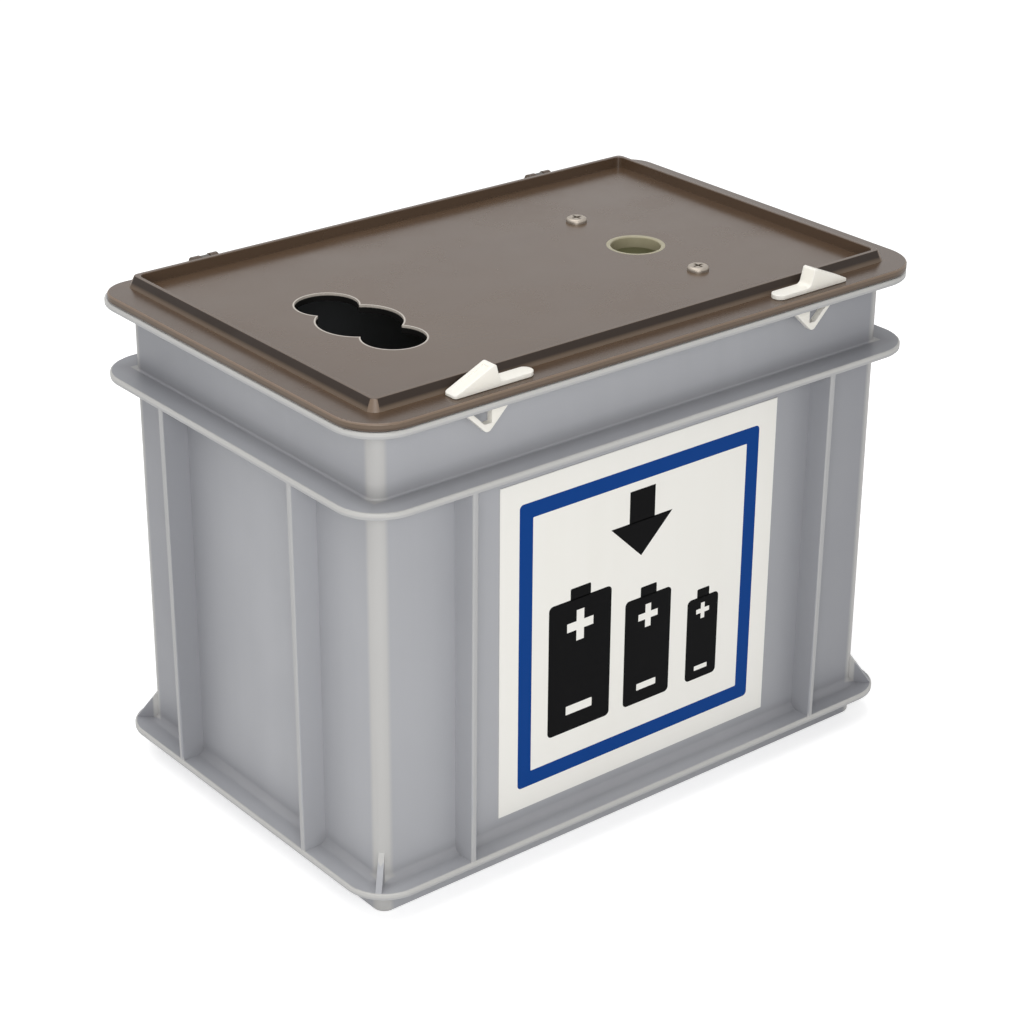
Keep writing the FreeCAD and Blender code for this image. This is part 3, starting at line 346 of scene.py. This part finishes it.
# painted shade and highlight for the container, and its darker hinge ears
containerLightAndShade = {
    "half": (0.137, 0.087), "levels": (0.1867, 0.0157),
    "grooveReach": 0.0070, "grooveShare": 0.40, "groove": (112, 111, 114),
    "cornerFrom": -0.0066, "cornerTo": -0.0046, "onWall": 0.0010, "corner": (181, 180, 178),
    "innerFrom": -0.0018, "innerTo": -0.0023, "floor": 0.0015, "inner": (104, 106, 109),
    "farShadeAcross": (0.050, 0.135), "farShadeAlong": (-0.010, 0.090), "farShadeShare": 0.85, "farShade": (138, 139, 144),
    "rim": 0.2202, "ears": (92, 88, 84),
}


def containerColours(plastic, settings):
    # painted shade towards the far ends and on the inside, darker hinge ears above the rim, painted shade
    # where the wall meets ring and flange, and a painted highlight on the upright corners
    tree = plastic[1]
    places = placeParts(tree)
    across, along = beyondWalls(tree, places, settings["half"])
    outward = worked(tree, "MAXIMUM", across, along)
    both = worked(tree, "ADD", across, along)
    corner = ranged(tree, both, settings["cornerFrom"], settings["cornerTo"], 0.0, 1.0)
    onWall = ranged(tree, outward, settings["onWall"] / 2, settings["onWall"], 1.0, 0.0)
    farShade = worked(tree, "MAXIMUM",
                  ranged(tree, places["X"], *settings["farShadeAcross"], 0.0, settings["farShadeShare"]),
                  ranged(tree, places["Y"], *settings["farShadeAlong"], 0.0, settings["farShadeShare"]))
    ears = ranged(tree, places["Z"], settings["rim"], settings["rim"] + settings["onWall"], 0.0, 1.0)
    grooves = []
    for level in settings["levels"]:
        rise = worked(tree, "SUBTRACT", places["Z"], level)
        squares = worked(tree, "ADD", squared(tree, outward), squared(tree, rise))
        grooves.append(worked(tree, "SQRT", squares))
    nearest = worked(tree, "MINIMUM", *grooves)
    within = ranged(tree, outward, settings["innerFrom"], settings["innerTo"], 0.0, 1.0)
    above = ranged(tree, places["Z"], settings["floor"] / 2, settings["floor"], 0.0, 1.0)
    # painted shade far off, inside and in the creases, a painted highlight on the corners, darker ears
    layers = {
        "farShade": farShade,
        "ears": ears,
        "corner": worked(tree, "MULTIPLY", corner, onWall),
        "groove": ranged(tree, nearest, 0.0, settings["grooveReach"], settings["grooveShare"], 0.0),
        "inner": worked(tree, "MULTIPLY", within, above),
    }
    for layer, factor in layers.items():
        plastic = tint(plastic, factor, settings[layer])
    return plastic[0]


lipBands = {
    "tops": (0.2200, 0.1867, 0.0157), "middle": 0.0007, "reach": (0.0007, 0.0012),
    "colour": (187, 186, 183),
}
# painted shade: darker at the top of the bead's slope and low on the lid's side
slopeBand = {"from": 0.2245, "to": 0.2258, "colour": (40, 28, 19)}
sideBand = {"from": 0.2218, "to": 0.2210, "colour": (62, 49, 38)}


def paleLips(plastic, settings):
    # a painted highlight: a pale band along the upper edge of rim, ring and flange
    tree = plastic[1]
    height = placeParts(tree)["Z"]
    away = None
    for top in settings["tops"]:
        off = worked(tree, "ABSOLUTE", worked(tree, "SUBTRACT", height, top - settings["middle"]))
        away = off if away is None else worked(tree, "MINIMUM", away, off)
    band = ranged(tree, away, *settings["reach"], 1.0, 0.0)
    return tint(plastic, band, settings["colour"])[0]


def heightBand(plastic, settings):
    # another colour beyond a height, used here for painted shade on the bead's slope and the lid's side
    tree = plastic[1]
    band = ranged(tree, placeParts(tree)["Z"], settings["from"], settings["to"], 0.0, 1.0)
    return tint(plastic, band, settings["colour"])[0]


def paintedGlow(plastic, settings):
    # a painted glow: light given off by a part that is no lamp
    material, shader = plastic[0], plastic[2]
    shader.inputs["Emission Color"].default_value = linearColour(*settings["colour"])
    shader.inputs["Emission Strength"].default_value = settings["strength"]
    return material


# painted glow of the olive cup
cupGlow = {"colour": (112, 108, 82), "strength": 0.3}


def shadedBelow(plastic, settings):
    # pale at the lid's top and dark with painted shadow from a given depth down
    tree = plastic[1]
    low = settings["top"] - settings["depth"]
    dark = ranged(tree, placeParts(tree)["Z"], low, low + settings["fade"], 1.0, 0.0)
    return tint(plastic, dark, settings["below"])[0]


def makeSteel(name, settings):
    # plated steel: fine turned marks in colour and gloss
    material, tree, shader = newMaterial(name)
    points = objectPoints(tree, settings["stretch"])
    marks = noise(tree, points, settings["markScale"], noiseSettings["markDetail"])
    colour = mixedColour(tree, marks, linearColour(*settings["dark"]), linearColour(*settings["light"]))
    tree.links.new(colour, shader.inputs["Base Color"])
    gloss = ranged(tree, marks, *noiseSettings["wide"], settings["smooth"], settings["rough"])
    tree.links.new(gloss, shader.inputs["Roughness"])
    tree.links.new(bumped(tree, marks, settings["strength"], settings["depth"]), shader.inputs["Normal"])
    shader.inputs["Metallic"].default_value = 1.0
    return material


screwSteel = {
    "dark": (152, 144, 134), "light": (178, 169, 158), "stretch": (1.0, 1.0, 4.0), "markScale": 900.0,
    "smooth": 0.40, "rough": 0.55, "strength": 0.2, "depth": 0.00005,
}
pinSteel = {**screwSteel, "dark": (150, 148, 146), "light": (184, 182, 180), "stretch": (8.0, 1.0, 1.0)}

materials = {
    "grey": containerColours(makePlastic("containerGrey", greyPlastic), containerLightAndShade),
    # a painted highlight on the container's outer edges and lips
    "edge": paleLips(makePlastic("containerEdge", greyEdge), lipBands),
    "brown": lidColours(makePlastic("lidBrown", brownPlastic), milledRim, lidFlat),
    # the bead's slope and the lid's side in painted light and shade
    "slope": heightBand(makePlastic("lidSlope", slopeBrown), slopeBand),
    "side": heightBand(makePlastic("lidSide", slopeBrown), sideBand),
    # a painted highlight on the bead's corners and the lid's upper edge
    "wearAndHighlight": makePlastic("lidHighlight", highlightBrown)[0],
    "milled": shadedBelow(makePlastic("milledEdge", milledPlastic), milledRim),
    "white": makePlastic("latchWhite", whitePlastic)[0],
    "ring": makePlastic("ringPale", ringPlastic)[0],
    "olive": paintedGlow(makePlastic("cupOlive", olivePlastic), cupGlow),
    "film": makePlastic("labelFilm", labelFilm)[0],
    "blue": makePlastic("printBlue", bluePrint)[0],
    "black": makePlastic("printBlack", blackPrint)[0],
    "screw": makeSteel("screwSteel", screwSteel),
    "pin": makeSteel("pinSteel", pinSteel),
}
print("materials made:", len(materials))


# pieces that keep the frame's own shape: merged, smoothed by angle and softly bevelled

mouldedPieces = {
    "containerShell": {
        "node": "container_body", "body": "container", "slot": "container_plastic",
        "material": "grey", "bevel": 0.0,
    },
    "lidShell": {
        "node": "lid", "body": "lid_set", "slot": "lid_plastic",
        "material": "brown", "bevel": 0.0,
    },
    "latchLeft": {
        "node": "latch_left", "body": "left_latch", "slot": "latch_plastic",
        "material": "white", "bevel": 0.0003,
    },
    "latchRight": {
        "node": "latch_right", "body": "right_latch", "slot": "latch_plastic",
        "material": "white", "bevel": 0.0003,
    },
    "inletRing": {
        "node": "inlet_ring", "body": "lid_set", "slot": "ring_plastic",
        "material": "ring", "bevel": 0.0,
    },
    "buttonCellCup": {
        "node": "button_cell_cup", "body": "lid_set", "slot": "cup_plastic",
        "material": "olive", "bevel": 0.0,
    },
    "cupScrews": {
        "node": "cup_screws", "body": "lid_set", "slot": "screw_steel",
        "material": "screw", "bevel": 0.0,
    },
    "cupWashers": {
        "node": "cup_washers", "body": "lid_set", "slot": "screw_steel",
        "material": "screw", "bevel": 0.0001,
    },
    "cupNuts": {
        "node": "cup_nuts", "body": "lid_set", "slot": "screw_steel",
        "material": "screw", "bevel": 0.0003,
    },
    "hingePinLeft": {
        "node": "hinge_pin_left", "body": "container", "slot": "pin_steel",
        "material": "pin", "bevel": 0.0002,
    },
    "hingePinRight": {
        "node": "hinge_pin_right", "body": "container", "slot": "pin_steel",
        "material": "pin", "bevel": 0.0002,
    },
}
smoothing = {
    "mergeDistance": 1e-6, "sharpAngle": 32.0, "flatAngle": 0.1,
    "bevelAngle": 40.0, "bevelSegments": 2,
}


def mergedCopy(name, nodeName):
    # copy of a node's mesh with its loose triangles joined and its flat faces made whole
    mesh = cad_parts[nodeName].data.copy()
    mesh.name = name
    if mesh.attributes.get("custom_normal"):
        mesh.attributes.remove(mesh.attributes["custom_normal"])
    work = bmesh.new()
    work.from_mesh(mesh)
    bmesh.ops.remove_doubles(work, verts=work.verts, dist=smoothing["mergeDistance"])
    bmesh.ops.dissolve_limit(work, angle_limit=math.radians(smoothing["flatAngle"]),
                             verts=work.verts, edges=work.edges)
    work.to_mesh(mesh)
    work.free()
    mesh.polygons.foreach_set("use_smooth", [True] * len(mesh.polygons))
    mesh.set_sharp_from_angle(angle=math.radians(smoothing["sharpAngle"]))
    return mesh


def addPiece(name, mesh, body, material):
    mesh.materials.clear()
    mesh.materials.append(material)
    piece = bpy.data.objects.new(name, mesh)
    bpy.context.scene.collection.objects.link(piece)
    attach(piece, body)
    return piece


def finishEdges(piece, width):
    # a soft bevel where there is a width for one, and evened normals
    if width:
        bevel = piece.modifiers.new("softEdges", "BEVEL")
        bevel.width = width
        bevel.segments = smoothing["bevelSegments"]
        bevel.limit_method = "ANGLE"
        bevel.angle_limit = math.radians(smoothing["bevelAngle"])
        bevel.harden_normals = False
    normals = piece.modifiers.new("evenNormals", "WEIGHTED_NORMAL")
    normals.keep_sharp = True


moulded = {}
for name, settings in mouldedPieces.items():
    mesh = mergedCopy(name, settings["node"])
    piece = addPiece(name, mesh, settings["body"], materials[settings["material"]])
    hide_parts(settings["node"])
    finishEdges(piece, settings["bevel"])
    moulded[name] = piece
    print("moulded piece:", name, len(mesh.polygons), "faces")


def faceData(mesh):
    count = len(mesh.polygons)
    centres = np.empty(count * 3, np.float32)
    normals = np.empty(count * 3, np.float32)
    mesh.polygons.foreach_get("center", centres)
    mesh.polygons.foreach_get("normal", normals)
    return centres.reshape(-1, 3), normals.reshape(-1, 3)


def paintFaces(piece, chosen, material):
    # chosen faces take one more material
    mesh = piece.data
    mesh.materials.append(material)
    index = np.empty(len(mesh.polygons), np.int32)
    mesh.polygons.foreach_get("material_index", index)
    index[chosen] = len(mesh.materials) - 1
    mesh.polygons.foreach_set("material_index", index)
    print("painted faces:", piece.name, int(chosen.sum()), "of", len(mesh.polygons))


# the walls of the battery slot are cut after moulding, so their upper edge is paler than the lid; below it
# they are dark with painted shadow

slotBox = {
    "centre": (slotCircles["place"], slotCircles["line"]),
    "reach": (0.0195, 0.0385), "upright": 0.3,
}


def slotWalls(mesh, settings):
    # faces inside the slot's box that stand upright
    centres, normals = faceData(mesh)
    near = np.all(np.abs(centres[:, :2] - settings["centre"]) < settings["reach"], axis=1)
    return near & (np.abs(normals[:, 2]) < settings["upright"])


paintFaces(moulded["lidShell"], slotWalls(moulded["lidShell"].data, slotBox), materials["milled"])


# the bead's outer slope and the lid's side are rougher and carry painted light and shade;
# the bead's corners and the lid's upper edge carry a painted highlight

beadSlope = {"half": (0.1385, 0.0885), "low": 0.2239, "high": 0.22835, "upright": 0.9, "corner": 0.3}
lidEdge = {"half": (0.1395, 0.0895), "low": 0.2224, "high": 0.22365, "upright": (0.12, 0.97)}
lidSide = {"half": (0.1395, 0.0895), "low": 0.2200, "high": 0.2236, "upright": (-0.1, 0.12)}


def slopeFaces(mesh, settings):
    # faces of the bead that lean outwards, and of these the ones at its corners
    centres, normals = faceData(mesh)
    outwards = normals[:, :2] * np.sign(centres[:, :2])
    lean = (np.abs(normals[:, 2]) < settings["upright"]) & (outwards.max(axis=1) > settings["corner"])
    within = np.all(np.abs(centres[:, :2]) < settings["half"], axis=1)
    height = (centres[:, 2] > settings["low"]) & (centres[:, 2] < settings["high"])
    slope = lean & within & height & (outwards.min(axis=1) > -settings["corner"])
    return slope, slope & (outwards.min(axis=1) > settings["corner"])


def edgeFaces(mesh, settings):
    # faces outside the bead, by their height and by how far they face upwards
    centres, normals = faceData(mesh)
    outside = np.any(np.abs(centres[:, :2]) > settings["half"], axis=1)
    height = (centres[:, 2] > settings["low"]) & (centres[:, 2] < settings["high"])
    least, most = settings["upright"]
    return outside & height & (normals[:, 2] > least) & (normals[:, 2] < most)


lidShell = moulded["lidShell"]
slope, slopeCorners = slopeFaces(lidShell.data, beadSlope)
paintFaces(lidShell, slope, materials["slope"])
paintFaces(lidShell, edgeFaces(lidShell.data, lidSide), materials["side"])
# a painted highlight on the bead's corners and the lid's upper edge
paintFaces(lidShell, slopeCorners | edgeFaces(lidShell.data, lidEdge), materials["wearAndHighlight"])


# rim, ring, flange and rib tips are pale along their outer edges with a painted highlight

edgeHighlights = {
    "half": (0.150, 0.100), "corner": 0.0205, "reach": 0.0011,
    "levels": (0.0171, 0.1832, 0.1880, 0.2202), "insets": (0.0016, 0.0007, 0.0004, 0.0, -1.0),
    "finLean": 0.3, "finLow": 0.0160, "finHigh": 0.0362, "finReach": -0.0080,
}


def outerEdges(mesh, settings):
    # how far a face is outside a rounded rectangle, compared with the inset at its height:
    # tips reach furthest out, and fins lean outwards in the corners above the flange
    centres, normals = faceData(mesh)
    beyond = np.abs(centres[:, :2]) - (np.array(settings["half"]) - settings["corner"])
    outside = np.linalg.norm(np.maximum(beyond, 0), axis=1)
    inside = np.minimum(beyond.max(axis=1), 0)
    distance = outside + inside - settings["corner"]
    level = np.searchsorted(settings["levels"], centres[:, 2]).clip(0, len(settings["insets"]) - 1)
    tips = distance > -np.array(settings["insets"])[level] - settings["reach"]
    leaning = (normals[:, :2] * np.sign(centres[:, :2])).min(axis=1) > settings["finLean"]
    height = (centres[:, 2] > settings["finLow"]) & (centres[:, 2] < settings["finHigh"])
    fins = leaning & height & (distance > settings["finReach"])
    return tips | fins


containerShell = moulded["containerShell"]
paintFaces(containerShell, outerEdges(containerShell.data, edgeHighlights), materials["edge"])


# label: printed film with a frame, an arrow and three upright cells

labelLow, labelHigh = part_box("label")
labelMiddle = ((labelLow.x + labelHigh.x) / 2, (labelLow.z + labelHigh.z) / 2)
labelSettings = {
    "frameInset": 0.0100, "frameWidth": 0.0070, "outerCorner": 0.0020, "innerCorner": 0.0005,
    "cornerSteps": 6, "ink": 0.00005,
}
millimetre = 0.001


def roundedOutline(centre, halfSize, corner):
    # the four corner arcs in turn, each around a point that is the corner's radius inside
    steps = labelSettings["cornerSteps"]
    angles = np.linspace(0, math.pi / 2, steps + 1)
    starts = np.array([0, 1, 2, 3]) * math.pi / 2
    turn = (starts[:, None] + angles[None, :]).ravel()
    signs = np.array([(1, 1), (-1, 1), (-1, -1), (1, -1)]).repeat(steps + 1, axis=0)
    inner = np.array(halfSize) - corner
    return np.array(centre) + signs * inner + corner * np.stack((np.cos(turn), np.sin(turn)), axis=1)


def printPrism(outline, front, depth):
    # an outline in x and z raised along y: a face at the front, one at the back, and the walls
    count = len(outline)
    points = np.zeros((2 * count, 3))
    points[:, 0] = np.tile(outline[:, 0], 2)
    points[:, 2] = np.tile(outline[:, 1], 2)
    points[:count, 1] = front
    points[count:, 1] = front + depth
    ring = np.arange(count)
    following = np.roll(ring, -1)
    walls = np.stack((following, ring, ring + count, following + count), axis=1)
    faces = [list(ring), list(ring[::-1] + count)] + walls.tolist()
    return points, faces


def printRing(outer, inner, front, depth):
    # the band between two outlines of as many points each, raised along y
    count = len(outer)
    loops = [(outer, front), (inner, front), (outer, front + depth), (inner, front + depth)]
    points = np.concatenate([
        np.stack((loop[:, 0], np.full(count, y), loop[:, 1]), axis=1) for loop, y in loops
    ])
    ring = np.arange(count)
    following = np.roll(ring, -1)
    outerFront, innerFront, outerBack, innerBack = (ring + count * index for index in range(4))
    outerFrontNext, innerFrontNext, outerBackNext, innerBackNext = (
        following + count * index for index in range(4))
    faces = np.concatenate([
        np.stack((outerFront, outerFrontNext, innerFrontNext, innerFront), axis=1),
        np.stack((outerBack, innerBack, innerBackNext, outerBackNext), axis=1),
        np.stack((outerFront, outerBack, outerBackNext, outerFrontNext), axis=1),
        np.stack((innerFront, innerFrontNext, innerBackNext, innerBack), axis=1),
    ])
    return points, faces.tolist()


def joinedMesh(name, parts):
    # parts of points and faces as one mesh
    points = []
    faces = []
    offset = 0
    for partPoints, partFaces in parts:
        points.append(partPoints)
        faces += [[int(index) + offset for index in face] for face in partFaces]
        offset += len(partPoints)
    mesh = bpy.data.meshes.new(name)
    mesh.from_pydata(np.concatenate(points).tolist(), [], faces)
    work = bmesh.new()
    work.from_mesh(mesh)
    bmesh.ops.recalc_face_normals(work, faces=work.faces)
    work.to_mesh(mesh)
    work.free()
    return mesh


def labelPlace(x, z):
    # millimetres from the label's middle, as a place on the object
    return (labelMiddle[0] + x * millimetre, labelMiddle[1] + z * millimetre)


inkFront = labelLow.y - labelSettings["ink"]
markFront = inkFront - labelSettings["ink"]

halfLabel = ((labelHigh.x - labelLow.x) / 2, (labelHigh.z - labelLow.z) / 2)
outerHalf = [half - labelSettings["frameInset"] for half in halfLabel]
innerHalf = [half - labelSettings["frameWidth"] for half in outerHalf]
blueFrame = printRing(
    roundedOutline(labelMiddle, outerHalf, labelSettings["outerCorner"]),
    roundedOutline(labelMiddle, innerHalf, labelSettings["innerCorner"]),
    inkFront, labelSettings["ink"])

cells = [
    {"middle": (-33, -16), "size": (34, 62), "cap": (11, 4.5)},
    {"middle": (5, -21.5), "size": (26, 51), "cap": (9, 4)},
    {"middle": (37, -27), "size": (18, 40), "cap": (7, 3.5)},
]
cellShape = {"corner": 2.2, "capCorner": 0.6, "capOverlap": 1.0}
cellMarks = {"size": 0.42, "stroke": 0.12, "plusDrop": 0.9, "minusRise": 0.7, "minusCorner": 0.3}
arrowShape = {
    "shaft": [(-7, 55), (7, 55), (7, 40), (-7, 40)],
    "head": [(-17, 40.5), (17, 40.5), (0, 24)],
}
clockwise = np.array(((0, 1), (-1, 0)))


def placedOutline(points):
    return np.array([labelPlace(x, z) for x, z in points])


def bar(x, z, width, height, corner):
    halfSize = (width * millimetre / 2, height * millimetre / 2)
    return roundedOutline(labelPlace(x, z), halfSize, corner * millimetre)


def plusOutline(x, z, size, stroke):
    # the three points of one inner corner, turned clockwise four times
    far, near = size / 2, stroke / 2
    corner = np.array([(near, far), (near, near), (far, near)])
    turns = [np.linalg.matrix_power(clockwise, turn) for turn in range(4)]
    points = np.concatenate([corner @ turn.T for turn in turns])
    return placedOutline(points + (x, z))


def symbolParts():
    # the arrow and the cells, in black on the film
    outlines = [placedOutline(points) for points in arrowShape.values()]
    for cell in cells:
        x, z = cell["middle"]
        width, height = cell["size"]
        capWidth, capHeight = cell["cap"]
        capMiddle = z + height / 2 + capHeight / 2
        capTall = capHeight + cellShape["capOverlap"]
        outlines.append(bar(x, z, width, height, cellShape["corner"]))
        outlines.append(bar(x, capMiddle, capWidth, capTall, cellShape["capCorner"]))
    return [printPrism(outline, inkFront, labelSettings["ink"]) for outline in outlines]


def markParts():
    # a plus and a minus on each cell, in white on the black
    outlines = []
    for cell in cells:
        x, z = cell["middle"]
        width, height = cell["size"]
        size = width * cellMarks["size"]
        stroke = width * cellMarks["stroke"]
        plusMiddle = z + height / 2 - size * cellMarks["plusDrop"]
        minusMiddle = z - height / 2 + size * cellMarks["minusRise"]
        outlines.append(plusOutline(x, plusMiddle, size, stroke))
        outlines.append(bar(x, minusMiddle, size, stroke, cellMarks["minusCorner"]))
    return [printPrism(outline, markFront, labelSettings["ink"]) for outline in outlines]


prints = {
    "labelFrame": ([blueFrame], "blue"),
    "labelSymbols": (symbolParts(), "black"),
    "labelMarks": (markParts(), "film"),
}
for name, (parts, colour) in prints.items():
    addPiece(name, joinedMesh(name, parts), "container", materials[colour])

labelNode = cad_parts["label"]
labelNode.data.materials.clear()
labelNode.data.materials.append(materials["film"])
print("label printed")


# floor, world and lamps; the lift and the world's strength whiten only what rays see directly,
# so the floor keeps the object's shadow

stageSettings = {
    "floorSize": 8.0,
    "floorColour": (235, 235, 235),
    "floorRoughness": 0.9,
    "floorLift": 0.54,
    "worldStrength": 0.50,
}


def seenRays(tree):
    # one for the rays that show the background: straight ones, reflections and through glass
    rays = tree.nodes.new("ShaderNodeLightPath")
    seen = worked(tree, "MAXIMUM", rays.outputs["Is Camera Ray"], rays.outputs["Is Glossy Ray"])
    return worked(tree, "MAXIMUM", seen, rays.outputs["Is Transmission Ray"])


def makeFloor(settings):
    material, tree, shader = newMaterial("floorPale")
    shader.inputs["Base Color"].default_value = linearColour(*settings["floorColour"])
    shader.inputs["Roughness"].default_value = settings["floorRoughness"]
    shader.inputs["Specular IOR Level"].default_value = 0.0
    lift = worked(tree, "MULTIPLY", seenRays(tree), settings["floorLift"])
    shader.inputs["Emission Color"].default_value = white
    tree.links.new(lift, shader.inputs["Emission Strength"])
    half = settings["floorSize"] / 2
    mesh = bpy.data.meshes.new("floor")
    corners = [(-half, -half, 0), (half, -half, 0), (half, half, 0), (-half, half, 0)]
    mesh.from_pydata(corners, [], [(0, 1, 2, 3)])
    mesh.materials.append(material)
    floor = bpy.data.objects.new("floor", mesh)
    bpy.context.scene.collection.objects.link(floor)


def makeWorld(settings):
    world = bpy.data.worlds.new("studio")
    world.use_nodes = True
    bpy.context.scene.world = world
    tree = world.node_tree
    tree.nodes.clear()
    strength = ranged(tree, seenRays(tree), 0.0, 1.0, settings["worldStrength"], 1.0)
    background = tree.nodes.new("ShaderNodeBackground")
    background.inputs["Color"].default_value = white
    tree.links.new(strength, background.inputs["Strength"])
    output = tree.nodes.new("ShaderNodeOutputWorld")
    tree.links.new(background.outputs[0], output.inputs["Surface"])


lamps = {
    "overhead": {
        "place": (-0.3, 0.2, 1.6), "target": (0, 0, 0.15), "size": 1.6, "power": 14.4,
    },
    "frontFill": {
        "place": (-0.60, -0.82, 0.50), "target": (-0.1, -0.05, 0.1), "size": 0.45, "power": 4.0,
    },
}


def makeLamp(name, settings):
    data = bpy.data.lights.new(name, "AREA")
    data.size = settings["size"]
    data.energy = settings["power"]
    lamp = bpy.data.objects.new(name, data)
    lamp.location = settings["place"]
    aim = Vector(settings["target"]) - Vector(settings["place"])
    lamp.rotation_euler = aim.to_track_quat("-Z", "Y").to_euler()
    bpy.context.scene.collection.objects.link(lamp)


makeFloor(stageSettings)
makeWorld(stageSettings)
for name, settings in lamps.items():
    makeLamp(name, settings)
print("studio ready")
